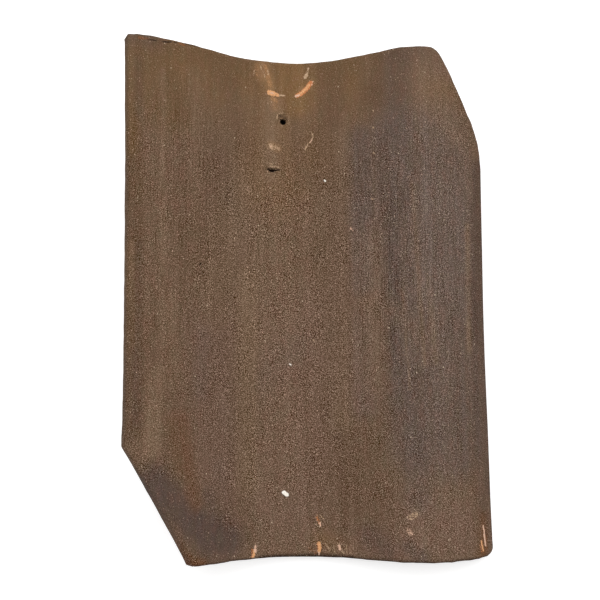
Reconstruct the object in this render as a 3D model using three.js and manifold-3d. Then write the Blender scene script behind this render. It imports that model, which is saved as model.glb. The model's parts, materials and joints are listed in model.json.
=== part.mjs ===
// A clay roof tile: an S-shaped pantile of the old hollow kind, moulded and fired as one piece.
// A flat clay blank has two opposite corners cut off. It is bent over a mould into a hollow
// trough with a roll on the right and a low wing on the left. A nib on the underside of the
// head hooks over the roof batten, and a nail hole lies just below the nib.
// Lengths are in millimetres. The tile rests on the floor z = 0, with its head towards +Y.
import * as THREE from 'three';
import { ConvexHull } from 'three/addons/math/ConvexHull.js';
import { mergeVertices } from 'three/addons/utils/BufferGeometryUtils.js';
import Module from 'manifold-3d';

// The blank before it is bent. Its width is measured over the curve of the weather face.
const LENGTH = 345;
const BLANK_WIDTH = 268;
const THICKNESS = 12.5;
const ARRIS_RADIUS = 2.5;
const LEFT_CORNER_RADIUS = 3.5;
const RIGHT_CORNER_RADIUS = 7;

// The corner cuts: what each takes off a long edge and off its end, and the rounding between
// the end and the cut. One is at the right of the head, the other at the left of the foot.
const HEAD_CUT = { length: 69.5, width: 42.5, radius: 6.5 };
const FOOT_CUT = { length: 77, width: 48, radius: 3 };

// The mould, outwards from the trough line: a hollow bend, a straight slope, a bend over.
const LEFT_EDGE_TO_TROUGH = 114.5;
const RISER = { hollowRadius: 54, slopeDegrees: 42, straight: 34, crestRadius: 52.5 };
const WING = { hollowRadius: 91, slopeDegrees: 27, straight: 16, crestRadius: 192 };
const FLARE = 3.6; // how much wider the head and the foot are than the middle

// The nib under the head. Its face towards the foot bears on the batten.
const NIB_WIDTH = 36;
const NIB_LENGTH = 22;
const NIB_DEPTH = 18;
const NIB_TO_HEAD = 3;
const NIB_RIGHT_OF_TROUGH = 4;
const NIB_CORNER_RADIUS = 7;
const NIB_ARRIS_RADIUS = 2;

// The nail hole, drilled square to the weather face.
const HOLE_DIAMETER = 4.5;
const HOLE_TO_HEAD = 43.5;
const HOLE_RIGHT_OF_TROUGH = 0.5;

// How finely the curves are faceted.
const STATION_STEP = 6;
const ROWS = 12;
const ARRIS_STEPS = 3;
const CORNER_STEPS = 3;
const HOLE_SIDES = 24;
const SMALLEST_RADIUS = 0.3;

const wasm = await Module();
wasm.setup();

const leftEdge = -LEFT_EDGE_TO_TROUGH;
const rightEdge = BLANK_WIDTH - LEFT_EDGE_TO_TROUGH;

// The arrises can be no rounder than the corners and the wall that they run round.
const cornerRadii = [LEFT_CORNER_RADIUS, RIGHT_CORNER_RADIUS, HEAD_CUT.radius, FOOT_CUT.radius];
const arris = Math.min(ARRIS_RADIUS, Math.min(...cornerRadii, THICKNESS / 2) - SMALLEST_RADIUS);

// A cut as it is seen in plan from the square corner of its end: the outward direction of its
// edge, and the distance from that corner at which the rounding between end and cut begins.
function cutLine({ length, width, radius }) {
  const diagonal = Math.hypot(length, width);
  const out = { across: length / diagonal, along: width / diagonal };
  const roundingStart = BLANK_WIDTH - width - (radius * (1 - out.along)) / out.across;
  return { out, roundingStart };
}

// How far a round corner stands back from the line through its centre, at a distance from it.
function roundOff(radius, distance) {
  return Math.sqrt(Math.max(radius ** 2 - distance ** 2, 0));
}

// How far the end of the blank is set back, at a distance from its square corner, for an
// outline moved in by inset. The end runs square, then along the cut, then round to the side.
function setback(distance, inset, squareRadius, cut, sideRadius) {
  const { out, roundingStart } = cutLine(cut);
  const sideCentre = BLANK_WIDTH - sideRadius;
  if (distance < squareRadius) {
    return squareRadius - roundOff(squareRadius - inset, squareRadius - distance);
  }
  if (distance < roundingStart) {
    return inset;
  }
  if (distance < roundingStart + (cut.radius - inset) * out.across) {
    return cut.radius - roundOff(cut.radius - inset, distance - roundingStart);
  }
  if (distance < sideCentre + (sideRadius - inset) * out.across) {
    return (out.across * (distance - BLANK_WIDTH + cut.width) + inset) / out.along;
  }
  const centreSetback = (out.across * (cut.width - sideRadius) + sideRadius) / out.along;
  return centreSetback - roundOff(sideRadius - inset, distance - sideCentre);
}

// The lowest and highest points of the blank at one station across it. The head has its
// square corner at the left and the foot at the right.
function reach(across, inset) {
  const fromLeft = across - leftEdge;
  const fromRight = rightEdge - across;
  const foot = setback(fromRight, inset, RIGHT_CORNER_RADIUS, FOOT_CUT, LEFT_CORNER_RADIUS);
  const head = setback(fromLeft, inset, LEFT_CORNER_RADIUS, HEAD_CUT, RIGHT_CORNER_RADIUS);
  return { foot, head: LENGTH - head };
}

// Moves a station in from the long edge beside it, about the centre of that edge's corners.
function movedIn(across, inset) {
  const fromLeft = across - leftEdge;
  const fromRight = rightEdge - across;
  if (fromLeft < LEFT_CORNER_RADIUS) {
    return across + inset * (1 - fromLeft / LEFT_CORNER_RADIUS);
  }
  if (fromRight < RIGHT_CORNER_RADIUS) {
    return across - inset * (1 - fromRight / RIGHT_CORNER_RADIUS);
  }
  return across;
}

// Stations across the blank: close together where its outline is round, and even elsewhere.
function stationsAcross() {
  const round = [];
  const headCut = cutLine(HEAD_CUT);
  const footCut = cutLine(FOOT_CUT);
  for (let i = 0; i <= CORNER_STEPS; i++) {
    const fromEdge = 1 - Math.cos((Math.PI / 2) * (i / CORNER_STEPS));
    const headStep = (HEAD_CUT.radius * headCut.out.across * i) / CORNER_STEPS;
    const footStep = (FOOT_CUT.radius * footCut.out.across * i) / CORNER_STEPS;
    round.push(leftEdge + LEFT_CORNER_RADIUS * fromEdge);
    round.push(rightEdge - RIGHT_CORNER_RADIUS * fromEdge);
    round.push(leftEdge + headCut.roundingStart + headStep);
    round.push(rightEdge - footCut.roundingStart - footStep);
  }
  const count = Math.round(BLANK_WIDTH / STATION_STEP);
  const even = Array.from({ length: count }, (_, i) => leftEdge + (BLANK_WIDTH * i) / count);
  const clear = even.filter((across) => round.every((near) => Math.abs(near - across) > STATION_STEP / 2));
  return [...round, ...clear].sort((a, b) => a - b);
}

// Layers through the blank, from the underside up. Near either face they are moved in, which
// rounds its arrises.
function layersUp() {
  const layers = [];
  for (let i = 0; i <= ARRIS_STEPS; i++) {
    const angle = (Math.PI / 2) * (i / ARRIS_STEPS);
    const depth = arris * (1 - Math.sin(angle));
    const inset = arris * (1 - Math.cos(angle));
    layers.push({ depth, inset }, { depth: THICKNESS - depth, inset });
  }
  return layers.sort((a, b) => b.depth - a.depth);
}

// Follows the mould outwards from the trough line for a distance over the weather face.
function followMould(distance, { hollowRadius, slopeDegrees, straight, crestRadius }) {
  const steepest = THREE.MathUtils.degToRad(slopeDegrees);
  const rising = Math.min(distance / hollowRadius, steepest);
  const level = THREE.MathUtils.clamp(distance - hollowRadius * steepest, 0, straight);
  const over = Math.max(distance - hollowRadius * steepest - straight, 0) / crestRadius;
  const slope = rising - over;
  const x = hollowRadius * Math.sin(rising) + level * Math.cos(rising)
    + crestRadius * (Math.sin(rising) - Math.sin(slope));
  const z = hollowRadius * (1 - Math.cos(rising)) + level * Math.sin(rising)
    + crestRadius * (Math.cos(slope) - Math.cos(rising));
  return { x, z, slope };
}

const middleWidth = followMould(rightEdge, RISER).x + followMould(-leftEdge, WING).x;

// Bends a point of the blank over the mould: across it, along it, and below its weather face.
function bend(across, along, depth) {
  const toRight = across > 0;
  const { x, z, slope } = followMould(Math.abs(across), toRight ? RISER : WING);
  const outwards = x + depth * Math.sin(slope);
  const flare = 1 + (FLARE / middleWidth) * ((2 * along) / LENGTH - 1) ** 2;
  return new THREE.Vector3((toRight ? outwards : -outwards) * flare, along, z - depth * Math.cos(slope));
}

function bentBlank() {
  const stations = stationsAcross();
  const layers = layersUp();
  const columns = stations.length - 1;
  const depths = layers.length - 1;
  const geometry = new THREE.BoxGeometry(1, 1, 1, columns, ROWS, depths);
  const { position } = geometry.attributes;
  for (let i = 0; i < position.count; i++) {
    const station = stations[Math.round((position.getX(i) + 0.5) * columns)];
    const { depth, inset } = layers[Math.round((position.getZ(i) + 0.5) * depths)];
    const across = movedIn(station, inset);
    const { foot, head } = reach(across, inset);
    const along = THREE.MathUtils.lerp(foot, head, position.getY(i) + 0.5);
    position.setXYZ(i, ...bend(across, along, depth).toArray());
  }
  return geometry;
}

// The nib is a short block with round upright corners, its upper part buried in the tile.
function nib() {
  const half = NIB_WIDTH / 2 - NIB_ARRIS_RADIUS;
  const low = NIB_ARRIS_RADIUS;
  const high = NIB_LENGTH - NIB_ARRIS_RADIUS;
  const round = NIB_CORNER_RADIUS - NIB_ARRIS_RADIUS;
  const plan = new THREE.Shape();
  plan.moveTo(half - round, low);
  plan.absarc(half - round, low + round, round, -Math.PI / 2, 0);
  plan.absarc(half - round, high - round, round, 0, Math.PI / 2);
  plan.absarc(round - half, high - round, round, Math.PI / 2, Math.PI);
  plan.absarc(round - half, low + round, round, Math.PI, Math.PI * 1.5);
  const buried = THICKNESS - arris;
  const geometry = new THREE.ExtrudeGeometry(plan, {
    depth: NIB_DEPTH + buried - 2 * NIB_ARRIS_RADIUS,
    bevelThickness: NIB_ARRIS_RADIUS,
    bevelSize: NIB_ARRIS_RADIUS,
    bevelSegments: 2,
    curveSegments: 4,
  });
  const bottom = NIB_ARRIS_RADIUS - THICKNESS - NIB_DEPTH;
  return geometry.translate(NIB_RIGHT_OF_TROUGH, LENGTH - NIB_TO_HEAD - NIB_LENGTH, bottom);
}

function nailHole() {
  const along = LENGTH - HOLE_TO_HEAD;
  const top = bend(HOLE_RIGHT_OF_TROUGH, along, -THICKNESS / 2);
  const bottom = bend(HOLE_RIGHT_OF_TROUGH, along, THICKNESS * 1.5);
  const direction = top.clone().sub(bottom);
  const radius = HOLE_DIAMETER / 2;
  const geometry = new THREE.CylinderGeometry(radius, radius, direction.length(), HOLE_SIDES);
  const upright = new THREE.Vector3(0, 1, 0);
  geometry.applyQuaternion(new THREE.Quaternion().setFromUnitVectors(upright, direction.normalize()));
  return geometry.translate(...top.add(bottom).divideScalar(2).toArray());
}

function toSolid(geometry) {
  geometry.deleteAttribute('normal');
  geometry.deleteAttribute('uv');
  const merged = mergeVertices(geometry);
  const mesh = { numProp: 3, vertProperties: merged.attributes.position.array };
  return new wasm.Manifold(new wasm.Mesh({ ...mesh, triVerts: new Uint32Array(merged.index.array) }));
}

function toGeometry(solid) {
  const { vertProperties, triVerts } = solid.getMesh();
  const geometry = new THREE.BufferGeometry();
  geometry.setAttribute('position', new THREE.BufferAttribute(vertProperties, 3));
  geometry.setIndex(new THREE.BufferAttribute(triVerts, 1));
  geometry.computeVertexNormals();
  return geometry;
}

function cornersOf(geometry) {
  const { position } = geometry.attributes;
  const corner = (_, i) => new THREE.Vector3().fromBufferAttribute(position, i);
  return Array.from({ length: position.count }, corner);
}

function centreOfMass(geometry) {
  const corners = cornersOf(geometry);
  const index = geometry.index.array;
  const centre = new THREE.Vector3();
  let total = 0;
  for (let i = 0; i < index.length; i += 3) {
    const [a, b, c] = [corners[index[i]], corners[index[i + 1]], corners[index[i + 2]]];
    const volume = a.dot(new THREE.Vector3().crossVectors(b, c));
    centre.addScaledVector(a, volume).addScaledVector(b, volume).addScaledVector(c, volume);
    total += volume;
  }
  return centre.divideScalar(4 * total);
}

// Whether a point is straight above a facet of the hull, when that facet lies on the floor.
function standsOver(facet, point) {
  let edge = facet.edge;
  do {
    const side = new THREE.Vector3().subVectors(edge.head().point, edge.tail().point);
    const toPoint = new THREE.Vector3().subVectors(point, edge.tail().point);
    if (side.cross(toPoint).dot(facet.normal) < 0) {
      return false;
    }
    edge = edge.next;
  } while (edge !== facet.edge);
  return true;
}

// The turn that lays the tile down as it comes to rest: on the facet of its convex hull that
// its centre of mass stands over, weather face up, with its length along Y.
function restingTurn(geometry) {
  const centre = centreOfMass(geometry);
  const hull = new ConvexHull().setFromPoints(cornersOf(geometry));
  const stable = hull.faces.filter((facet) => standsOver(facet, centre));
  const facet = stable.reduce((best, next) => (next.normal.z < best.normal.z ? next : best));
  const down = new THREE.Vector3(0, 0, -1);
  const turn = new THREE.Quaternion().setFromUnitVectors(facet.normal, down);
  const lengthways = new THREE.Vector3(0, 1, 0).applyQuaternion(turn);
  const offLine = Math.atan2(lengthways.x, lengthways.y);
  return turn.premultiply(new THREE.Quaternion().setFromAxisAngle(down, -offLine));
}

const clay = new THREE.MeshStandardMaterial({ color: 0x6d5849, roughness: 0.85, metalness: 0 });
const tileSolid = toSolid(bentBlank()).add(toSolid(nib())).subtract(toSolid(nailHole()));
const roofTile = new THREE.Mesh(toGeometry(tileSolid), clay);
roofTile.name = 'roof_tile';
roofTile.quaternion.copy(restingTurn(roofTile.geometry));

const bounds = new THREE.Box3().setFromObject(roofTile, true);
const middle = bounds.getCenter(new THREE.Vector3());
roofTile.position.set(-middle.x, -middle.y, -bounds.min.z);

const tile = new THREE.Group();
tile.add(roofTile);

export default tile;
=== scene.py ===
import json
import math
import bmesh
import bpy
import numpy as np
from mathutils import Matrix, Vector


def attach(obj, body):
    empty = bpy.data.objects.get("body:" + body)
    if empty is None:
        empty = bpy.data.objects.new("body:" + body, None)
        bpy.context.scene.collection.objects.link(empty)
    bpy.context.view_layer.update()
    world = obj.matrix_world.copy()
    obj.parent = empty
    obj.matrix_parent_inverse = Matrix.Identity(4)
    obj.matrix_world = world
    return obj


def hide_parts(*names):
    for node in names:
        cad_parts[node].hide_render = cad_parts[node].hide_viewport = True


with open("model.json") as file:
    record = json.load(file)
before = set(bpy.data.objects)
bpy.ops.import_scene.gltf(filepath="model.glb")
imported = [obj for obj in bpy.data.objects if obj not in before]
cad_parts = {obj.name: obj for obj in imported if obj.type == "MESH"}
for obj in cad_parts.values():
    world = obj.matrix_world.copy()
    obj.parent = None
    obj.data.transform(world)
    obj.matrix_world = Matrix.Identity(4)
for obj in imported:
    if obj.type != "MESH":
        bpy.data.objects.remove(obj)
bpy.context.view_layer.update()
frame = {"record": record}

# ---------------------------------------------------------------------------------------------
# The camera. It looks down on the tile from above the foot, a little to the right of its middle,
# from arm's length.
MM = 0.001
CAMERA_PLACE = (58.1 * MM, -104.7 * MM, 673.3 * MM)
CAMERA_TURN_DEGREES = (9.36, 5.931, -0.076)
CAMERA_LENS = 57.15
CAMERA_SENSOR = 36

camera_turn = [math.radians(angle) for angle in CAMERA_TURN_DEGREES]
bpy.ops.object.camera_add(location=CAMERA_PLACE, rotation=camera_turn)
camera = bpy.context.object
camera.data.lens = CAMERA_LENS
camera.data.sensor_width = CAMERA_SENSOR
bpy.context.scene.camera = camera

# ---------------------------------------------------------------------------------------------
# The blank: a flat slab of sanded clay, struck off in a frame. Two opposite corners are cut off
# with a wire, and the rims are rounded with a wet thumb.
LENGTH = 345 * MM
BLANK_WIDTH = 268 * MM
LEFT_EDGE_TO_TROUGH = 114.5 * MM
THICKNESS = 12.5 * MM
ARRIS_RADIUS = 2.5 * MM
ARRIS_STEPS = 3
CORNER_STEPS = 5
LEFT_CORNER_RADIUS = 3.5 * MM
RIGHT_CORNER_RADIUS = 7 * MM
HEAD_CUT = {"length": 69.5 * MM, "width": 42.5 * MM, "radius": 6.5 * MM}
FOOT_CUT = {"length": 77 * MM, "width": 48 * MM, "radius": 3 * MM}
COARSE_CELL = 4.5 * MM
FINE_CUTS = 2  # the further cuts across each cell of the weather face and the rims
NEAR = 0.01 * MM  # places closer than this are the same place

left_edge = -LEFT_EDGE_TO_TROUGH
right_edge = BLANK_WIDTH - LEFT_EDGE_TO_TROUGH


def pick(kind, wanted):
    """Selects only the vertices, edges or faces of the mesh in edit mode that are wanted."""
    bpy.ops.mesh.select_mode(type="VERT")
    bpy.ops.mesh.select_all(action="DESELECT")
    bpy.ops.mesh.select_mode(type=kind)
    shape = bmesh.from_edit_mesh(bpy.context.object.data)
    for part in {"VERT": shape.verts, "EDGE": shape.edges, "FACE": shape.faces}[kind]:
        if wanted(part):
            part.select_set(True)
    bmesh.update_edit_mesh(bpy.context.object.data)


def round_corner(place, radius, turn):
    """Rounds the corner of the outline at a place, where it turns by an angle."""
    corner = Vector(place)
    pick("VERT", lambda vertex: (vertex.co - corner).length < NEAR)
    bpy.ops.mesh.bevel(offset=radius * math.tan(turn / 2), segments=CORNER_STEPS, affect="VERTICES")


def cut_cells(corner, sizes, cell):
    """Cuts the mesh in edit mode into even cells, counted from a corner of it."""
    for axis, size in enumerate(sizes):
        cells = round(size / cell)
        for step in range(1, cells):
            place = list(corner)
            square = [0, 0, 0]
            place[axis] += size * step / cells
            square[axis] = 1
            bpy.ops.mesh.select_all(action="SELECT")
            bpy.ops.mesh.bisect(plane_co=place, plane_no=square)


bpy.ops.object.select_all(action="DESELECT")
middle = ((left_edge + right_edge) / 2, LENGTH / 2, 0)
bpy.ops.mesh.primitive_plane_add(size=1, location=middle)
tile = bpy.context.object
tile.name = "clay_tile"
bpy.ops.transform.resize(value=(BLANK_WIDTH, LENGTH, 1))
bpy.ops.object.transform_apply(location=True, rotation=True, scale=True)
bpy.ops.object.mode_set(mode="EDIT")

# The wire cuts at the right of the head and at the left of the foot.
for cut, end, side, out in ((HEAD_CUT, LENGTH, right_edge, 1), (FOOT_CUT, 0, left_edge, -1)):
    on_end = (side - out * cut["width"], end, 0)
    on_side = (side, end - out * cut["length"], 0)
    bpy.ops.mesh.select_all(action="SELECT")
    square_to_cut = (out * cut["length"], out * cut["width"], 0)
    bpy.ops.mesh.bisect(plane_co=on_end, plane_no=square_to_cut, clear_outer=True)
    side_turn = math.atan2(cut["width"], cut["length"])
    side_radius = RIGHT_CORNER_RADIUS if out > 0 else LEFT_CORNER_RADIUS
    round_corner(on_end, cut["radius"], math.pi / 2 - side_turn)
    round_corner(on_side, side_radius, side_turn)
round_corner((left_edge, LENGTH, 0), LEFT_CORNER_RADIUS, math.pi / 2)
round_corner((right_edge, 0, 0), RIGHT_CORNER_RADIUS, math.pi / 2)

# The slab is drawn down to its thickness, and both its arrises are rounded.
bpy.ops.mesh.select_all(action="SELECT")
bpy.ops.mesh.extrude_region_move(TRANSFORM_OT_translate={"value": (0, 0, -THICKNESS)})
bpy.ops.mesh.select_all(action="SELECT")
bpy.ops.mesh.normals_make_consistent(inside=False)
pick("EDGE", lambda edge: abs(edge.verts[0].co.z - edge.verts[1].co.z) < NEAR)
bpy.ops.mesh.bevel(offset=ARRIS_RADIUS, segments=ARRIS_STEPS, affect="EDGES")

# Even cells, finer on the weather face and the rims than on the underside.
cut_cells((left_edge, 0, 0), (BLANK_WIDTH, LENGTH), COARSE_CELL)
pick("FACE", lambda face: face.calc_center_median().z > -THICKNESS + ARRIS_RADIUS)
bpy.ops.mesh.subdivide(number_cuts=FINE_CUTS)
bpy.ops.object.mode_set(mode="OBJECT")

# ---------------------------------------------------------------------------------------------
# The nail hole: pierced through the flat clay with a hand-held punch. It narrows a little
# towards the underside, because the bend opens it there.
HOLE_RADIUS = 2.25 * MM
HOLE_PLACE = (0.5 * MM, 301.5 * MM)
HOLE_SIDES = 26
HOLE_LOOPS = 17
PUNCH_TIP = 0.6  # the punch's width where it comes out, as a share of its width where it goes in
LEVEL_ENOUGH = 0.5  # a face whose normal rises by more than this belongs to the weather face

# Where marks need finer cells: the middle of each place, across and along the blank from the
# foot of the trough line, and its width and length, in millimetres.
MARKED_PLACES = [
    ((2, 330), (50, 30)),
    ((-90, 342), (48, 8)),
    ((2, 295), (50, 36)),
    ((-6, 267), (14, 10)),
    ((0.5, 42.5), (12, 10)),
    ((-21, 5), (12, 14)),
    ((23, 14), (14, 32)),
    ((42, 7), (22, 12)),
    ((87, 25), (18, 22)),
    ((140, 14), (14, 30)),
]


def is_marked(place):
    """Whether a place on the blank needs finer cells."""
    across, along = place.x / MM, place.y / MM
    for (middle_across, middle_along), (width, length) in MARKED_PLACES:
        if abs(across - middle_across) < width / 2 and abs(along - middle_along) < length / 2:
            return True
    return False


def work_on(piece):
    """Selects one piece alone, so that the next steps shape it."""
    bpy.ops.object.select_all(action="DESELECT")
    piece.select_set(True)
    bpy.context.view_layer.objects.active = piece


bpy.ops.object.mode_set(mode="EDIT")
pick("FACE", lambda face: face.normal.z > LEVEL_ENOUGH and is_marked(face.calc_center_median()))
bpy.ops.mesh.subdivide(number_cuts=FINE_CUTS)
bpy.ops.object.mode_set(mode="OBJECT")

bpy.ops.object.select_all(action="DESELECT")
bpy.ops.mesh.primitive_cylinder_add(
    vertices=HOLE_SIDES,
    radius=HOLE_RADIUS,
    depth=3 * THICKNESS,
    location=(*HOLE_PLACE, -THICKNESS / 2),
)
punch = bpy.context.object
bpy.ops.object.transform_apply(location=True, rotation=False, scale=False)
bpy.ops.object.mode_set(mode="EDIT")
pick("EDGE", lambda edge: abs(edge.verts[0].co.z - edge.verts[1].co.z) > THICKNESS)
bpy.ops.mesh.subdivide(number_cuts=HOLE_LOOPS)
pick("VERT", lambda vertex: vertex.co.z < -THICKNESS + ARRIS_RADIUS)
bpy.ops.transform.resize(
    value=(PUNCH_TIP, PUNCH_TIP, 1),
    center_override=(*HOLE_PLACE, -THICKNESS),
    use_proportional_edit=True,
    proportional_edit_falloff="LINEAR",
    proportional_size=THICKNESS,
)
bpy.ops.object.mode_set(mode="OBJECT")
pierce = tile.modifiers.new("pierce", "BOOLEAN")
pierce.operation = "DIFFERENCE"
pierce.object = punch
work_on(tile)
bpy.ops.object.modifier_apply(modifier=pierce.name)
bpy.data.objects.remove(punch)

# ---------------------------------------------------------------------------------------------
# The skin, while the blank is still flat: a warp from drying, the ridges that the strike board
# drew lengthwise, the roughness of the sand, and rims that are not quite true.
WARP = {"grain": (60, 110, 60), "height": 0.9 * MM, "group": "whole"}
RIDGES = {"grain": (3.2, 90, 3.2), "height": 0.27 * MM, "group": "weather_face"}
SAND_BED = {"grain": (2.2, 2.6, 2.2), "height": 0.08 * MM, "group": "whole"}
RAGGED_RIMS = {"grain": (9, 14, 9), "height": 0.7 * MM, "group": "rims", "middle": 0.25}

flat_places = np.array([vertex.co for vertex in tile.data.vertices], dtype=np.float32) / MM
across, along, up = flat_places.T
thickness = THICKNESS / MM
arris = ARRIS_RADIUS / MM
hole_across, hole_along = HOLE_PLACE[0] / MM, HOLE_PLACE[1] / MM
from_hole = np.hypot(across - hole_across, along - hole_along)
on_rim = (up < -arris / 2) & (up > arris / 2 - thickness) & (from_hole > 2 * HOLE_RADIUS / MM)

groups = {"whole": np.full(len(up), True), "weather_face": up > -arris / 2, "rims": on_rim}
for name, wanted in groups.items():
    group = tile.vertex_groups.new(name=name)
    group.add([int(index) for index in np.flatnonzero(wanted)], 1.0, "REPLACE")


def roughen(name, grain, height, group, middle=0.5):
    """Raises and lowers a part of the surface by cloudy noise, stretched to a grain in mm."""
    bpy.ops.object.select_all(action="DESELECT")
    bpy.ops.object.empty_add()
    stretch = bpy.context.object
    stretch.scale = [size * MM for size in grain]
    bpy.context.view_layer.update()
    noise = bpy.data.textures.new(name, "CLOUDS")
    noise.noise_scale = 1
    noise.noise_depth = 2
    displace = tile.modifiers.new(name, "DISPLACE")
    displace.texture = noise
    displace.texture_coords = "OBJECT"
    displace.texture_coords_object = stretch
    displace.vertex_group = group
    displace.strength = height
    displace.mid_level = middle
    work_on(tile)
    bpy.ops.object.modifier_apply(modifier=displace.name)
    bpy.data.objects.remove(stretch)


roughen("warp", **WARP)
roughen("ridges", **RIDGES)
roughen("sand_bed", **SAND_BED)
roughen("ragged_rims", **RAGGED_RIMS)

# Where the wire and the thumbs drew the rims out of true: along which stroke, how far the clay
# moved across and along, and how far around that reaches, in millimetres.
DRAWN_RIMS = [
    ([(-113.9, 343.9)], (-0.5, 0.3), 1.6),
    ([(-111.6, 345)], (0, -0.55), 2.4),
    ([(-68.2, 0.8)], (0.1, -0.7), 1.6),
    ([(-66, 0.5), (-42, 0.5)], (0, -0.28), 4),
    ([(-69.9, 3.4)], (0.65, 0.1), 2.6),
    ([(-114.5, 77)], (-0.5, 0.2), 12),
    ([(-95, 345), (-70, 345)], (0, 0.2), 12),
    ([(88, 345), (100, 345)], (0, 0.7), 18),
    ([(114.5, 338), (122, 326)], (0.6, 0.4), 6),
    ([(126, 318), (136, 300)], (0.3, 0.2), 7),
    ([(141, 294), (147, 283)], (1.2, 0.7), 8),
    ([(153.5, 264), (153.5, 4)], (1.6, 0), 9),
    ([(122, 0), (132, 0)], (0, 0.4), 9),
    ([(143, 0), (147, 1)], (0, 0.8), 5),
    ([(149.5, 2.5)], (-0.4, 0.4), 3),
    ([(153.5, 7)], (0.5, -0.2), 3),
]
ON_STROKE = 1.2  # clay this near a stroke moves all the way, in millimetres


def from_stroke(stroke):
    """How far each point is, in plan, from a stroke through a few places."""
    nearest = np.full(len(across), np.inf)
    places = np.array(stroke, float)
    for start, end in zip(places, places[min(1, len(places) - 1):]):
        run = end - start
        share = ((across - start[0]) * run[0] + (along - start[1]) * run[1]) / max(run @ run, NEAR)
        share = np.clip(share, 0, 1)
        gap = np.hypot(across - start[0] - share * run[0], along - start[1] - share * run[1])
        nearest = np.minimum(nearest, gap)
    return nearest


def draw_clay(wanted, move, reach):
    """Moves the wanted points of the mesh in edit mode, and draws the clay round them along."""
    pick("VERT", lambda vertex: wanted[vertex.index])
    bpy.ops.transform.translate(
        value=[part * MM for part in move],
        use_proportional_edit=True,
        proportional_edit_falloff="SMOOTH",
        proportional_size=reach * MM,
    )


bpy.ops.object.mode_set(mode="EDIT")
for stroke, move, reach in DRAWN_RIMS:
    draw_clay(from_stroke(stroke) < ON_STROKE, (*move, 0), reach)
bpy.ops.object.mode_set(mode="OBJECT")

# ---------------------------------------------------------------------------------------------
# The marks on the weather face. Fingers that backed up the nib left a U above it, whose worn
# ridges show the peach clay. Below it lie the nail hole's crater and the scuffs and chips of use.
colourings = {}


def stain(kind, stroke, width, fade, amount=1.0):
    """Stains the clay along a stroke. At half its width the stain is half gone."""
    inside = np.clip(0.5 - (from_stroke(stroke) - width / 2) / fade, 0, 1)
    inside = inside * inside * (3 - 2 * inside) * amount
    colourings[kind] = np.maximum(colourings.get(kind, 0), inside)


def press(stroke, width, depth, reach):
    """Presses the weather face down along a stroke, or raises it where depth is negative."""
    draw_clay((from_stroke(stroke) < width / 2) & (up > -arris), (0, 0, -depth), reach)


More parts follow.
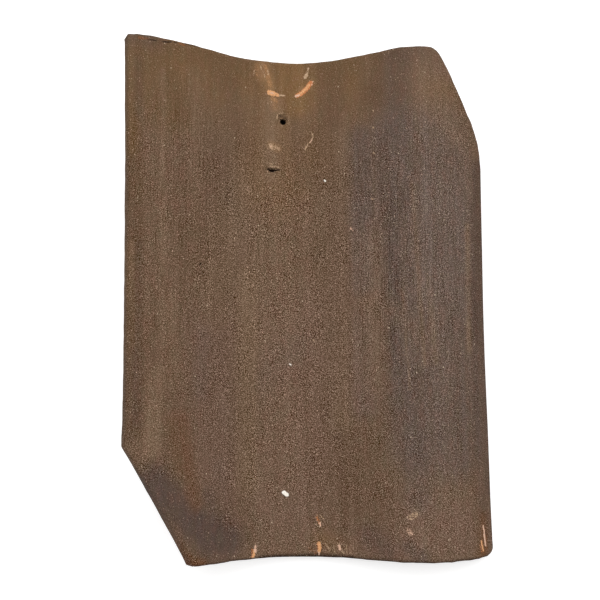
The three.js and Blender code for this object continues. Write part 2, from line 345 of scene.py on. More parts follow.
# Each scar: the colour that shows, how fully, how wide it is, how deep it goes, and its stroke
# across and along the blank from the foot of the trough line, in millimetres.
SCARS = [
    # the bar and the curl of the U over the nib
    ("peach_clay", 1.0, 3.7, -0.35, [(-9.4, 321.8), (-6.4, 321.2)]),
    ("peach_clay", 0.95, 2.6, -0.3, [(-6.4, 321.2), (-3.4, 320.5)]),
    ("pink_clay", 0.7, 1.4, -0.1, [(-8.6, 321.6), (-6.6, 321.2)]),
    ("tan_wipe", 1.0, 1.2, -0.15, [(-3, 320.4), (1.4, 320.7)]),
    ("amber", 0.85, 3.5, -0.3, [(10.8, 320.8), (14.4, 323.1), (17.6, 326), (20.2, 329.6)]),
    ("peach_clay", 0.85, 2.1, -0.2, [(11, 321), (14.4, 323.3), (17.2, 326), (18.8, 328.2)]),
    ("pink_clay", 0.95, 1.7, -0.2, [(9.4, 320.3), (11.6, 321)]),
    ("pink_clay", 0.6, 0.9, 0, [(20.8, 328.4), (21.6, 330.6)]),
    # pale specks and wipes inside and beside the U
    ("tan_wipe", 1.0, 2.4, -0.1, [(16.2, 334), (17.2, 335.8)]),
    ("tan_wipe", 0.7, 1.6, 0, [(17.2, 335.8), (18.5, 340.5)]),
    ("ochre", 0.55, 2.2, -0.1, [(-12.4, 341), (-11.4, 338.6), (-10, 335)]),
    ("tan_wipe", 0.8, 0.9, 0, [(-10.8, 338), (-9.8, 335)]),
    ("ochre", 0.36, 3.0, 0, [(-18.5, 341), (-18.5, 333)]),
    ("tan_wipe", 0.8, 0.8, 0, [(-20.6, 336.4), (-20.8, 334)]),
    ("tan_wipe", 0.8, 0.8, 0, [(-15.6, 340.5), (-15.4, 338)]),
    ("tan_wipe", 0.75, 0.8, 0, [(-13, 335), (-12.6, 332.5)]),
    ("ochre", 0.5, 3.6, 0, [(-10.2, 333), (-8.6, 327.5)]),
    ("pink_clay", 0.7, 0.9, 0, [(-17.2, 320)]),
    ("pink_clay", 0.75, 0.9, 0, [(-27.5, 328)]),
    ("ochre", 0.5, 3.5, 0, [(-7, 318), (-4.5, 316)]),
    # the crater round the nail hole, with a ring and pits of painted shade in it
    ("tan_wipe", 0.72, 1.3, -0.3, [(-4, 303.4), (-3.6, 306.2)]),
    ("tan_wipe", 0.48, 1.2, -0.25, [(-3.4, 306.4), (-1.6, 307.6), (0.6, 307.8)]),
    ("tan_wipe", 0.42, 1.3, -0.25, [(4.2, 304), (5, 302), (4.6, 300)]),
    ("soot_and_shade", 0.55, 2.0, 0.45, [(-2, 305.8), (0.6, 305), (3, 303.2)]),
    ("pit_shade", 0.8, 1.0, 0.3, [(-1.4, 303.4), (-0.6, 302.8)]),
    ("pit_shade", 0.8, 1.0, 0.3, [(2.4, 303.2), (2, 302.6)]),
    # scuffs below the hole
    ("tan_wipe", 0.66, 3.0, -0.2, [(-8.8, 284), (-7.8, 281.8)]),
    ("tan_wipe", 0.56, 2.6, -0.1, [(-5.6, 283), (-3, 281.8)]),
    ("pink_clay", 0.6, 1.0, -0.1, [(-8.8, 284.2), (-8, 281.8)]),
    ("tan_wipe", 0.6, 1.1, -0.1, [(20.8, 294), (21.4, 290.4), (20.4, 288)]),
    ("pink_clay", 0.9, 0.9, -0.15, [(20.4, 288), (19.6, 286.9)]),
    ("tan_wipe", 0.6, 1.0, -0.1, [(19.4, 286.6), (17.6, 284.8)]),
    ("tan_wipe", 0.6, 1.9, -0.1, [(17, 284.4), (16.2, 281.6)]),
    # the slit, where a stone dragged, with painted shade inside it, and the clay that it threw up
    ("tan_wipe", 0.66, 1.3, -0.5, [(-9.6, 268.8), (-6.2, 268.3)]),
    ("tan_wipe", 0.62, 1.1, -0.3, [(-5, 268.4), (-2.4, 268.2)]),
    ("tan_wipe", 0.55, 1.4, -0.2, [(-9.2, 270.4), (-7.8, 270.2)]),
    ("pit_shade", 1.4, 1.7, 2.0, [(-8.4, 266.2), (-6.2, 266)]),
    ("pit_shade", 1.1, 1.0, 0.8, [(-10.6, 266.8), (-8.6, 266.4)]),
    ("pit_shade", 1.0, 1.0, 0.5, [(-5.4, 266.3), (-2, 266.6)]),
    ("pink_clay", 0.6, 0.8, 0, [(-11, 264.6)]),
    # specks, pits and a scratch here and there; the pits, and the dark edge of the scratch, are
    # painted shade
    ("white_lime", 1.0, 1.0, 0, [(29.9, 258.4)]),
    ("tan_wipe", 0.9, 0.6, 0, [(28.5, 314.5)]),
    ("tan_wipe", 0.8, 0.5, 0, [(-10, 301)]),
    ("tan_wipe", 0.8, 0.5, 0, [(10.5, 286.5)]),
    ("tan_wipe", 0.8, 0.6, 0, [(-22.5, 280)]),
    ("white_lime", 0.9, 0.9, -0.1, [(4.6, 129.9)]),
    ("tan_wipe", 0.7, 0.9, 0, [(21, 146.4)]),
    ("pit_shade", 1.2, 0.9, 0.5, [(-63.9, 195.7)]),
    ("pink_clay", 1.1, 1.0, -0.15, [(48.8, 223), (51.2, 221.4)]),
    ("tan_wipe", 0.85, 0.9, 0, [(67.1, 291.2)]),
    ("tan_wipe", 0.75, 0.9, 0, [(67.1, 303.2)]),
    ("tan_wipe", 0.7, 0.9, 0, [(67.1, 273.3)]),
    ("tan_wipe", 0.7, 0.9, 0, [(65.7, 242)]),
    ("pit_shade", 0.6, 0.9, 0.3, [(48.9, 221.4), (51, 219.9)]),
    # a fleck of lime, with a painted shadow beside it
    ("white_lime", 1.15, 2.6, -0.4, [(-0.6, 43.2), (1, 42), (1.5, 41.6)]),
    ("soot_and_shade", 0.6, 0.9, 0.25, [(-2.4, 42.6), (-0.4, 40.8), (1, 40)]),
    # chips along the foot
    ("tan_wipe", 0.7, 0.8, 0.1, [(-20.8, 10.4), (-20.6, 8.6)]),
    ("pink_clay", 0.9, 1.7, 0.3, [(-20.6, 8.4), (-20.4, 5)]),
    ("peach_clay", 1.0, 1.9, 0.45, [(-21.2, 5.8), (-21.8, 2)]),
    ("amber", 0.7, 1.2, 0.2, [(-22.8, 6.6), (-23, 1.8)]),
    ("ochre", 0.4, 3.4, 0.1, [(22.2, 26.4), (23.4, 22.4)]),
    ("amber", 0.5, 2.2, 0.1, [(22, 26), (23, 23.2)]),
    ("tan_wipe", 0.62, 0.8, 0.1, [(23.6, 28.2), (26.2, 25.2)]),
    ("pink_clay", 0.9, 1.2, 0.3, [(23.9, 23), (23.8, 20.6)]),
    ("peach_clay", 1.0, 2.3, 0.4, [(22.8, 9.2), (23.4, 6.4), (22.8, 4)]),
    ("amber", 0.7, 1.4, 0.2, [(22, 9.4), (22.4, 5.4)]),
    ("pink_clay", 0.7, 1.2, 0.2, [(22.8, 3.4), (22.8, 1.4)]),
    ("tan_wipe", 0.62, 1.2, 0, [(27.8, 8.4), (29.6, 6), (30.2, 4)]),
    ("rusty", 0.42, 3.0, 0.1, [(17.2, 5.4), (20.6, 3)]),
    ("pink_clay", 0.85, 2.0, 0.15, [(36.8, 7.8), (37.4, 5.6)]),
    ("tan_wipe", 0.6, 1.6, 0.1, [(36.4, 9.6), (38.4, 5.2), (40.4, 3.4)]),
    ("tan_wipe", 0.5, 1.4, 0, [(42, 8.4), (42.6, 3.4)]),
    ("tan_wipe", 0.46, 1.2, 0, [(45, 7), (45.6, 3.4)]),
    ("tan_wipe", 0.46, 1.2, 0, [(33.2, 7.4), (33.6, 3.6)]),
    # scuffs right of the trough, and a long scratch and a chip at the right of the foot
    ("tan_wipe", 0.5, 4.2, 0, [(88, 29.4), (92, 31.2)]),
    ("tan_wipe", 0.58, 1.6, 0, [(89.5, 30), (91.5, 30.8)]),
    ("pink_clay", 0.48, 3.6, 0, [(86.5, 21), (87.9, 19)]),
    ("pink_clay", 0.95, 1.5, -0.25, [(140.8, 21.6), (141.4, 18)]),
    ("pink_clay", 0.9, 1.9, -0.25, [(141.4, 18), (142.6, 9)]),
    ("peach_clay", 0.8, 1.7, 0.3, [(138.8, 12), (140, 8), (140.6, 5.6)]),
    ("amber", 0.55, 1.4, 0.2, [(137.4, 9.6), (138.8, 5)]),
    ("rusty", 0.6, 1.6, 0, [(143.6, 15), (144.4, 6)]),
    # a thin, broken dark line just under the head's arris
    ("rusty", 0.5, 2.4, 0, [(-107.5, 342.2), (-101.5, 342)]),
    ("soot_and_shade", 0.85, 0.9, 0.25, [(-102.5, 341.7), (-96, 341.8)]),
    ("soot_and_shade", 0.95, 1.1, 0.3, [(-91.5, 342.1), (-88, 342.3), (-85.5, 343)]),
    ("soot_and_shade", 0.9, 0.9, 0.25, [(-83.5, 343), (-81.5, 343.2)]),
    ("rusty", 0.6, 2.0, 0, [(-79, 343.2), (-76, 342.8)]),
    ("soot_and_shade", 0.5, 1.8, 0, [(-75, 344), (-66, 344)]),
]
SCAR_FADE = 0.8
SCAR_REACH = 1.5
SCAR_BOTTOM = (-2.4 * arris, -1.4 * arris)  # a scar fades out between these heights on a rim
U_DISH = {"stroke": [(4, 331), (6, 327)], "width": 9, "depth": 0.7, "reach": 11}
CRATER = {"stroke": [(hole_across, hole_along)], "width": 5.5, "depth": 0.5, "reach": 3.5}

bpy.ops.object.mode_set(mode="EDIT")
press(**U_DISH)
press(**CRATER)
for kind, amount, width, depth, stroke in SCARS:
    stain(kind, stroke, width, SCAR_FADE, amount)
    if depth:
        press(stroke, width, depth, SCAR_REACH)
bpy.ops.object.mode_set(mode="OBJECT")
for kind in colourings:
    colourings[kind] *= np.interp(up, SCAR_BOTTOM, (0, 1))

# ---------------------------------------------------------------------------------------------
# The broad stains of kiln and weather: soot, ash and rust run lengthwise, the way that water
# and smoke went, and the head stays browner where the next tile covered it.
# Each stain: its colour, its stroke, its width, how softly it ends, and how strong it is.
STAINS = [
    # the head
    ("tawny", [(-112, 346), (40, 346)], 80, 70, 0.9),
    ("tawny", [(-12, 300), (-6, 255)], 46, 30, 0.5),
    ("tawny", [(22, 300), (24, 275)], 28, 24, 0.5),
    ("olive", [(-108, 340), (-98, 318), (-86, 298)], 34, 24, 0.8),
    ("umber", [(78, 345), (76, 312)], 30, 20, 1.0),
    ("umber", [(-112, 346), (-96, 346)], 24, 18, 0.8),
    ("umber", [(-34, 347), (14, 347)], 9, 8, 0.7),
    ("soot", [(-115, 347), (-100, 347)], 18, 20, 0.6),
    ("bark", [(82, 347), (102, 343)], 20, 20, 0.45),
    ("olive", [(-112, 348), (60, 348)], 34, 26, 0.75),
    ("tawny", [(78, 338), (80, 300)], 16, 14, 0.35),
    ("tawny", [(112, 314), (132, 284)], 18, 14, 0.4),
    ("toast", [(-10, 326), (-6, 292)], 12, 12, 0.4),
    ("olive", [(-114, 340), (-104, 338)], 16, 14, 0.9),
    ("toast", [(6, 348), (9, 318)], 24, 14, 0.95),
    ("toast", [(-8, 320), (-6, 300)], 16, 14, 0.55),
    ("haze", [(-14.5, 340), (-14, 335)], 11, 9, 0.46),
    ("haze", [(-10, 334), (-8.4, 326)], 6, 7, 0.5),
    ("haze", [(-6, 318), (-5, 312)], 5, 7, 0.5),
    ("haze", [(14, 323), (20, 330)], 6, 5, 0.25),
    ("haze", [(-8.6, 284), (-3.4, 282)], 5, 5, 0.35),
    ("wash_and_painted_light", [(-7, 314), (-9, 262)], 13, 11, 0.65),
    ("umber", [(12, 298), (16, 262)], 14, 14, 0.4),
    ("umber", [(6, 345), (14, 343)], 5, 6, 0.4),
    ("umber", [(27, 294), (28, 256)], 15, 12, 0.65),
    ("umber", [(36, 342), (34, 295)], 20, 14, 0.6),
    ("wash_and_painted_light", [(63, 338), (63, 328)], 10, 12, 0.4),
    # painted light: a pale stroke that offsets the shade where the trough turns up into the riser
    ("wash_and_painted_light", [(42, 290), (46, 200), (42, 90)], 12, 12, 0.6),
    ("wash_and_painted_light", [(45.5, 302), (46.5, 270), (45, 225)], 6, 6, 0.45),
    ("umber", [(-48, 340), (-46, 322)], 12, 10, 0.4),
    ("umber", [(-38, 325), (-30, 282)], 12, 12, 0.45),
    ("wash_and_painted_light", [(-69.5, 325), (-68, 280)], 8, 8, 0.35),
    ("umber", [(82, 345), (80, 296)], 10, 9, 0.8),
    ("wash_and_painted_light", [(104, 342), (108, 305), (126, 284)], 14, 12, 0.4),
    ("olive", [(122, 318), (140, 285), (148, 265)], 6, 6, 0.5),
    # the wing
    ("umber", [(-86, 280), (-88, 80)], 60, 26, 0.4),
    ("olive", [(-117, 330), (-117, 240)], 20, 9, 0.95),
    ("olive", [(-117, 240), (-117, 150)], 18, 9, 0.7),
    ("olive", [(-117, 150), (-117, 90)], 20, 9, 0.6),
    ("umber", [(-112, 318), (-112, 262)], 9, 8, 0.8),
    ("bark", [(-112, 258), (-112, 212)], 9, 8, 0.4),
    ("bark", [(-108, 328), (-108, 290)], 5, 6, 0.35),
    ("bark", [(-113, 168), (-112, 90)], 8, 8, 0.25),
    ("bark", [(-108, 207), (-108, 142)], 5, 6, 0.5),
    ("bark", [(-109, 137), (-108.5, 92)], 8, 8, 0.6),
    ("bark", [(-114, 130), (-113, 85)], 11, 7, 0.4),
    ("wash_and_painted_light", [(-46, 225), (-52, 165)], 22, 18, 0.7),
    ("umber", [(-107.5, 330), (-107.5, 250)], 7, 8, 0.5),
    ("umber", [(-108, 246), (-107, 150)], 9, 8, 0.9),
    ("wash_and_painted_light", [(-112.3, 205), (-112.3, 172)], 2.5, 3, 0.5),
    ("umber", [(-107, 145), (-107, 88)], 15, 9, 1.0),
    ("umber", [(-88, 318), (-88, 285)], 2, 2, 0.8),
    ("wash_and_painted_light", [(-91.5, 322), (-91.5, 130)], 4, 4, 0.5),
    ("wash_and_painted_light", [(-67, 300), (-66, 175)], 8, 10, 0.4),
    ("ash", [(-62, 150), (-64, 110)], 10, 10, 0.3),
    ("rust", [(-88, 185), (-87, 120)], 3, 3, 0.25),
    ("wash_and_painted_light", [(-85, 170), (-83, 118)], 9, 9, 0.5),
    ("wash_and_painted_light", [(-94, 124), (-97, 104), (-98, 76)], 12, 9, 0.8),
    ("umber", [(-106, 74), (-84, 38), (-70, 16)], 5, 5, 0.4),
    ("olive", [(-84, 92), (-80, 60)], 8, 8, 0.5),
    ("rust", [(-78, 94), (-74, 72), (-67, 40)], 10, 10, 0.7),
    ("soot", [(-95, 56), (-80, 39), (-67, 27), (-54, 15)], 20, 15, 0.95),
    ("soot", [(-64, 14), (-56, 8)], 10, 10, 0.5),
    ("soot", [(-58, 6), (-44, 5)], 9, 9, 0.5),
    ("umber", [(-69, 8), (-58, 3)], 7, 7, 0.8),
    ("soot", [(-64, 26), (-42, 14)], 24, 16, 0.95),
    ("soot", [(-57, 44), (-50, 26)], 10, 10, 0.5),
    ("russet", [(-80, 15), (-70, 3), (-60, 1)], 5, 6, 0.9),
    ("ash", [(-48, 62), (-42, 30)], 10, 10, 0.2),
    # the trough and the riser
    ("wash_and_painted_light", [(-16, 250), (-12, 60)], 46, 30, 0.3),
    ("wash_and_painted_light", [(-26, 190), (-27, 50)], 15, 12, 1.0),
    ("wash_and_painted_light", [(4, 205), (3, 140)], 10, 10, 0.35),
    ("mauve", [(-56, 150), (-46, 60)], 40, 30, 0.5),
    ("mauve", [(8, 160), (4, 40)], 50, 34, 0.45),
    ("mauve", [(54, 235), (53, 110)], 32, 18, 0.65),
    # painted light: a pale stroke that offsets the shade on the riser's slope
    ("wash_and_painted_light", [(60, 215), (63, 118)], 18, 14, 0.6),
    ("wash_and_painted_light", [(76, 168), (95, 150)], 12, 14, 0.3),
    ("ash", [(6, 140), (-18, 118)], 20, 20, 0.4),
    ("olive", [(44, 112), (42, 96)], 8, 10, 0.35),
    ("umber", [(50, 100), (48, 30)], 34, 24, 0.4),
    ("umber", [(20, 112), (21, 12)], 8, 8, 0.4),
    ("umber", [(56, 70), (70, 34)], 18, 16, 0.5),
    ("ash", [(58, 282), (58, 228)], 23, 18, 0.8),
    ("slate", [(58, 285), (59, 240)], 14, 10, 0.2),
    ("soot", [(60, 16), (72, 6)], 13, 12, 0.5),
    ("toast", [(24, 12), (44, 9)], 12, 12, 0.5),
    # the roll
    ("ash", [(84, 284), (90, 200), (98, 78)], 40, 24, 0.9),
    ("ash", [(112, 280), (118, 200), (116, 78)], 50, 26, 0.8),
    ("ash", [(108, 245), (110, 190)], 20, 16, 0.5),
    ("pewter", [(108, 262), (112, 180)], 26, 20, 0.55),
    ("pewter", [(57, 236), (57, 184)], 16, 14, 0.6),
    ("pewter", [(57, 160), (57, 100)], 14, 14, 0.3),
    ("slate", [(85, 335), (84, 235)], 17, 12, 0.5),
    ("slate", [(82, 225), (81, 180), (82, 118)], 8, 8, 0.6),
    ("slate", [(76, 285), (74, 235)], 8, 8, 0.35),
    ("slate", [(77, 235), (79, 130)], 1.4, 1.6, 0.8),
    ("slate", [(83, 250), (84, 140)], 1.6, 1.6, 0.8),
    ("slate", [(91, 240), (92, 150)], 1.6, 1.6, 0.7),
    ("slate", [(88, 122), (94, 42)], 18, 16, 0.5),
    ("slate", [(122, 200), (124, 60)], 12, 16, 0.3),
    ("slate", [(141, 238), (140, 70)], 8, 8, 0.65),
    ("umber", [(134, 296), (140, 262)], 6, 6, 0.5),
    ("bark", [(150, 262), (150, 165)], 19, 8, 0.9),
    ("bark", [(151, 160), (151, 45)], 13, 8, 0.75),
    ("bark", [(143, 182), (143, 148)], 12, 8, 0.95),
    ("bark", [(142, 150), (142, 30)], 13, 10, 0.4),
    ("wash_and_painted_light", [(134.5, 222), (134, 138)], 4.5, 5, 0.8),
    ("pewter", [(126, 236), (130, 165)], 12, 12, 0.5),
    ("wash_and_painted_light", [(141.5, 255), (141.5, 205)], 2, 2, 0.3),
    ("slate", [(86, 10), (94, 4)], 10, 8, 0.6),
    ("wash_and_painted_light", [(94, 250), (99, 150), (100, 128)], 2.5, 2.5, 0.6),
    ("wash_and_painted_light", [(86, 178), (90, 112)], 1.5, 1.5, 0.5),
    ("wash_and_painted_light", [(104, 185), (107, 130)], 4, 4, 0.4),
    ("mauve", [(92, 32), (130, 20)], 30, 22, 0.5),
    ("mauve", [(44, 12), (118, 12)], 20, 16, 0.45),
    ("umber", [(126, 24), (146, 22)], 14, 12, 0.3),
    ("olive", [(138, 28), (138, 4)], 12, 8, 0.9),
    ("russet", [(142, 26), (141, 4)], 8, 7, 0.55),
    ("bark", [(152, 60), (152, 4)], 5, 5, 0.6),
    # painted shade along the arris of the foot, which turns away from the light
    ("foot_shade", [(-16, -1), (46, -1)], 6, 2.5, 0.95),
    ("foot_shade", [(-66, -1), (-16, -1)], 4, 3, 0.7),
    ("foot_shade", [(46, -1), (150, -1)], 4.5, 3, 0.7),
]
FOOT_SHADE_BOTTOM = (-2.6 * arris, -1.2 * arris)  # the painted shade thins between these heights on a rim
FOOT_SHADE_BELOW = 0.35  # how much of it is left there

for kind, stroke, width, fade, amount in STAINS:
    stain("broad_" + kind, stroke, width, fade, amount)
colourings["broad_foot_shade"] *= np.interp(up, FOOT_SHADE_BOTTOM, (FOOT_SHADE_BELOW, 1))

# Where the sand was wiped off by wet hands: each stroke, its width, its fade and its strength.
WIPED = [
    ([(-2, 332), (6, 334), (14, 334)], 16, 7, 1.0),
    ([(-10, 318), (-8, 290)], 13, 9, 0.85),
    ([(-9, 290), (-8, 262)], 10, 9, 0.5),
    ([(150, 275), (150, 30)], 18, 8, 0.6),
    ([(-112, 345), (70, 345)], 126, 70, 0.9),
    ([(70, 345), (110, 345)], 60, 36, 0.6),
    ([(-92, 48), (-76, 34), (-62, 20), (-45, 12)], 22, 12, 0.85),
    ([(-94, 124), (-97, 104), (-100, 82)], 9, 9, 0.6),
    ([(-60, 3), (150, 3)], 9, 10, 0.5),
    ([(-95, 290), (-95, 90)], 50, 34, 0.36),
    ([(-82, 90), (-66, 30)], 44, 30, 0.36),
    ([(112, 280), (112, 60)], 70, 30, 0.28),
    ([(62, 290), (62, 60)], 30, 20, 0.18),
    ([(-40, 25), (140, 25)], 40, 24, 0.26),
    ([(28, 16), (31, 14)], 8, 7, 0.6),
    ([(4, 274), (-12, 275)], 5, 6, 0.5),
]
for stroke, width, fade, amount in WIPED:
    stain("wiped", stroke, width, fade, amount)
# Where the board dragged grit along and left fine combed lines.
COMBED = [
    ([(74, 255), (78, 160)], 44, 24, 1.0),
    ([(108, 270), (114, 150)], 44, 24, 0.9),
    ([(-78, 300), (-78, 170)], 50, 24, 0.65),
]
for stroke, width, fade, amount in COMBED:
    stain("combed", stroke, width, fade, amount)
# Where the fire and the weather mottled the skin.
MOTTLED = [
    ([(-112, 340), (60, 340)], 90, 30),
    ([(100, 300), (100, 40)], 110, 30),
    ([(-60, 15), (150, 15)], 50, 30),
    ([(-88, 300), (-88, 60)], 60, 30),
    ([(0, 260), (0, 60)], 40, 30),
]
for stroke, width, fade in MOTTLED:
    stain("mottled", stroke, width, fade)

# Painted shade in the punched hole: how far down a point is, until it is too deep for light.
HOLE_WALL = 1.3 * HOLE_RADIUS / MM
DARK_DEPTH = 2.5
colourings["hole_shade"] = np.where(from_hole < HOLE_WALL, np.clip(-up / DARK_DEPTH, 0, 1), 0)

place_layer = tile.data.attributes.new("flat_place", "FLOAT_VECTOR", "POINT")
place_layer.data.foreach_set("vector", flat_places.ravel())
for kind, amounts in colourings.items():
    layer = tile.data.attributes.new(kind, "FLOAT", "POINT")
    layer.data.foreach_set("value", amounts.astype(np.float32))

# ---------------------------------------------------------------------------------------------
# The mould, over which the limp blank is bent: a wooden form with a hollow along its trough
# line, and on each side a straight slope and then a bend over.
RISER = {"hollow": 54 * MM, "slope": math.radians(42), "straight": 34 * MM, "crest": 52.5 * MM}
WING = {"hollow": 91 * MM, "slope": math.radians(27), "straight": 16 * MM, "crest": 192 * MM}
FLARE = 3.6 * MM  # how much wider the head and the foot are than the middle
MOULD_STEP = 0.5 * MM


def draw_section(side, out, reach):
    """Draws the mould's section from the trough line outwards. Both its bends are spun."""
    pick("VERT", lambda vertex: vertex.co.length < NEAR)
    rise, level = math.sin(side["slope"]), math.cos(side["slope"])
    uphill = Vector((out * level, 0, rise))
    inwards = Vector((out * rise, 0, -level))
    top_of_slope = Vector((out * rise, 0, 1 - level)) * side["hollow"] + uphill * side["straight"]
    crest_centre = top_of_slope + inwards * side["crest"]
    over = reach - side["hollow"] * side["slope"] - side["straight"]
    steps = round(side["hollow"] * side["slope"] / MOULD_STEP)
    hollow_centre = (0, 0, side["hollow"])
    bpy.ops.mesh.spin(steps=steps, angle=side["slope"], center=hollow_centre, axis=(0, out, 0))
    bpy.ops.mesh.extrude_region_move(TRANSFORM_OT_translate={"value": uphill * side["straight"]})
    steps = round(over / MOULD_STEP)
    bpy.ops.mesh.spin(steps=steps, angle=over / side["crest"], center=crest_centre, axis=(0, -out, 0))


bpy.ops.object.select_all(action="DESELECT")
bpy.ops.mesh.primitive_plane_add(size=COARSE_CELL)
mould = bpy.context.object
bpy.ops.object.mode_set(mode="EDIT")
bpy.ops.mesh.merge(type="CENTER")
draw_section(RISER, 1, right_edge)
draw_section(WING, -1, -left_edge)
bpy.ops.object.mode_set(mode="OBJECT")
section = [vertex.co.x for vertex in mould.data.vertices]
middle_width = max(section) - min(section)
bpy.ops.object.convert(target="CURVE")
mould.data.dimensions = "3D"
mould.data.twist_mode = "Z_UP"

work_on(tile)
tile.location.x = -left_edge
bpy.ops.object.transform_apply(location=True, rotation=False, scale=False)
bend = tile.modifiers.new("bend", "CURVE")
bend.object = mould
bend.deform_axis = "POS_X"
bpy.ops.object.modifier_apply(modifier=bend.name)
bpy.data.objects.remove(mould)

# Both ends spread a little as the clay dries.
bpy.ops.object.mode_set(mode="EDIT")
for wanted in (flat_places[:, 1] > (LENGTH - NEAR) / MM, flat_places[:, 1] < NEAR / MM):
    pick("VERT", lambda vertex: wanted[vertex.index])
    bpy.ops.transform.resize(
        value=(1 + FLARE / middle_width, 1, 1),
        center_override=(0, 0, 0),
        use_proportional_edit=True,
        proportional_edit_falloff="SHARP",
        proportional_size=LENGTH / 2,
    )
bpy.ops.object.mode_set(mode="OBJECT")

# ---------------------------------------------------------------------------------------------
# The nib: a lump of the same clay, backed up by hand under the head to hook over the batten.
# Its root is smeared out onto the underside.
NIB_WIDTH = 36 * MM
NIB_LENGTH = 22 * MM
NIB_DEPTH = 18 * MM
NIB_TO_HEAD = 3 * MM
NIB_RIGHT_OF_TROUGH = 4 * MM
NIB_CORNER_RADIUS = 7 * MM
NIB_CORNER_STEPS = 6
NIB_ARRIS_RADIUS = 3 * MM
NIB_ARRIS_STEPS = 4
NIB_CELL = 1.6 * MM
ROOT_SPREAD = 1.22
ROOT_REACH = 9 * MM
SMOOTH_BELOW = math.radians(50)  # the sharpest edge that is shaded smooth

buried = THICKNESS - ARRIS_RADIUS
nib_height = NIB_DEPTH + buried
nib_size = (NIB_WIDTH, NIB_LENGTH, nib_height)
nib_foot = -THICKNESS - NIB_DEPTH
nib_middle = (
    NIB_RIGHT_OF_TROUGH,
    LENGTH - NIB_TO_HEAD - NIB_LENGTH / 2,
    nib_foot + nib_height / 2,
)
bpy.ops.object.select_all(action="DESELECT")
bpy.ops.mesh.primitive_cube_add(size=1, location=nib_middle)
nib = bpy.context.object
bpy.ops.transform.resize(value=nib_size)
bpy.ops.object.transform_apply(location=True, rotation=True, scale=True)
bpy.ops.object.mode_set(mode="EDIT")
pick("EDGE", lambda edge: abs(edge.verts[0].co.z - edge.verts[1].co.z) > NIB_DEPTH)
bpy.ops.mesh.bevel(offset=NIB_CORNER_RADIUS, segments=NIB_CORNER_STEPS, affect="EDGES")
pick("EDGE", lambda edge: all(abs(vertex.co.z - nib_foot) < NEAR for vertex in edge.verts))
bpy.ops.mesh.bevel(offset=NIB_ARRIS_RADIUS, segments=NIB_ARRIS_STEPS, affect="EDGES")
cut_cells([place - size / 2 for place, size in zip(nib_middle, nib_size)], nib_size, NIB_CELL)
pick("VERT", lambda vertex: vertex.co.z > -THICKNESS)
bpy.ops.transform.resize(
    value=(ROOT_SPREAD, ROOT_SPREAD, 1),
    center_override=nib_middle,
    use_proportional_edit=True,
    proportional_edit_falloff="SHARP",
    proportional_size=ROOT_REACH,
)
bpy.ops.object.mode_set(mode="OBJECT")

join = tile.modifiers.new("join", "BOOLEAN")
join.operation = "UNION"
join.solver = "MANIFOLD"
join.object = nib
work_on(tile)
bpy.ops.object.modifier_apply(modifier=join.name)
bpy.data.objects.remove(nib)

# The nib was never flat: its clay keeps the place that it has on the bent tile.
places = np.zeros(3 * len(tile.data.vertices), dtype=np.float32)
tile.data.attributes["flat_place"].data.foreach_get("vector", places)
places = places.reshape(-1, 3)
bent_places = np.array([vertex.co for vertex in tile.data.vertices], dtype=np.float32) / MM
never_flat = ~places.any(axis=1)
places[never_flat] = bent_places[never_flat]
tile.data.attributes["flat_place"].data.foreach_set("vector", places.ravel())
bpy.ops.object.shade_smooth_by_angle(angle=SMOOTH_BELOW)

# ---------------------------------------------------------------------------------------------
# The fired clay: a brown body, sanded before it was fired, dulled by soot and weather. Every
# pattern lies on the flat blank's own places, in millimetres, so it follows the bend.
BODY = (114, 92, 74)
DULL_PATCH = (111, 87, 70)
GREENISH_PATCH = (106, 90, 71)
RUDDY_PATCH = (114, 88, 75)
UNDERSIDE = (124, 92, 68)
BROAD_COLOURS = {
    "broad_tawny": (118, 89, 60),
    "broad_umber": (103, 80, 62),
    "broad_olive": (105, 81, 57),
    "broad_toast": (123, 93, 62),
    "broad_mauve": (118, 93, 80),
    "broad_ash": (102, 86, 77),
    "broad_slate": (92, 77, 69),
    "broad_soot": (86, 70, 63),
    "broad_rust": (106, 76, 56),
    # a paler wash of clay, and in two strokes painted light
    "broad_wash_and_painted_light": (123, 100, 80),
    "broad_pewter": (107, 92, 84),
    "broad_haze": (166, 126, 88),
    "broad_bark": (88, 70, 60),
    "broad_russet": (104, 66, 40),
    # painted shade along the foot's arris
    "broad_foot_shade": (46, 33, 24),
}
SCAR_COLOURS = {
    # soot, and painted shade in the crater and beside the lime fleck
    "soot_and_shade": (56, 41, 31),
    "rusty": (128, 80, 48),
    "ochre": (170, 126, 86),
    "tan_wipe": (186, 156, 126),
    "amber": (198, 126, 82),
    "peach_clay": (220, 162, 114),
    "pink_clay": (218, 178, 152),
    "white_lime": (255, 248, 236),
}
# painted shade for the nail hole, the slit and the dents
PAINTED_SHADE_BLACK = (20, 8, 3)
GLOSS = 0.12

clay = bpy.data.materials.new("fired_clay")
clay.use_nodes = True
nodes = clay.node_tree.nodes
links = clay.node_tree.links
shader = nodes["Principled BSDF"]
shader.inputs["Metallic"].default_value = 0
shader.inputs["Specular IOR Level"].default_value = GLOSS


def as_linear(colour):
    """A colour of 0 to 255, as it is seen, in the numbers that a shader takes."""
    shares = [value / 255 for value in colour]
    return [*(s / 12.92 if s < 0.04045 else ((s + 0.055) / 1.055) ** 2.4 for s in shares), 1]


def attribute(name, output="Fac"):
    """A value that the mesh carries at each of its points."""
    node = nodes.new("ShaderNodeAttribute")
    node.attribute_name = name
    return node.outputs[output]


def calculate(operation, *values):
    """Works out a number at each place from numbers and from other such results."""
    node = nodes.new("ShaderNodeMath")
    node.operation = operation
    for socket, value in zip(node.inputs, values):
        if isinstance(value, (int, float)):
            socket.default_value = value
        else:
            links.new(value, socket)
    return node.outputs[0]


